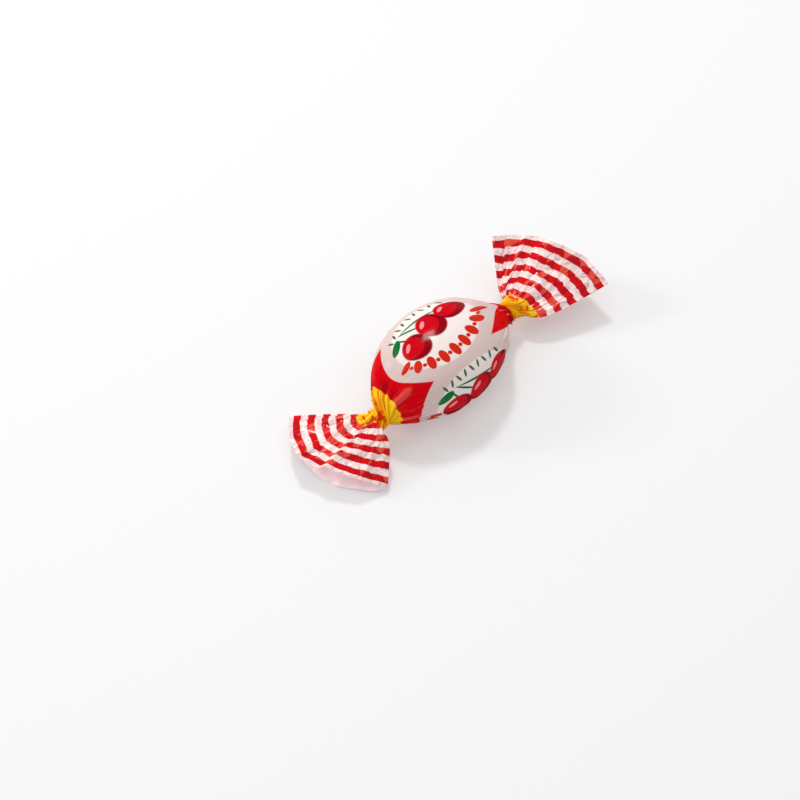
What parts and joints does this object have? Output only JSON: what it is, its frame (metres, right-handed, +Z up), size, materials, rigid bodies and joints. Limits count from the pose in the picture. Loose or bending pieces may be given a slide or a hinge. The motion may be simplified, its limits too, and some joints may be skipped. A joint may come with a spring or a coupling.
{
  "type": "wrapped caramel candy",
  "caption": "Boiled sweet in a printed film wrapper, wrung into a neck at both ends, with a fan-shaped tail past each neck.",
  "frame": {"origin": "on the table, under the middle of the sweet's whole length and breadth, tails included", "axes": "+X from the tail that lies low to the tail that stands up, +Y across the sweet, +Z up from the table"},
  "size_m": [0.07, 0.0234, 0.0148],
  "materials": {
    "printed_film": "glossy printed film"
  },
  "bodies": {
    "root": {"wrapped_sweet": "printed_film"}
  },
  "joints": []
}
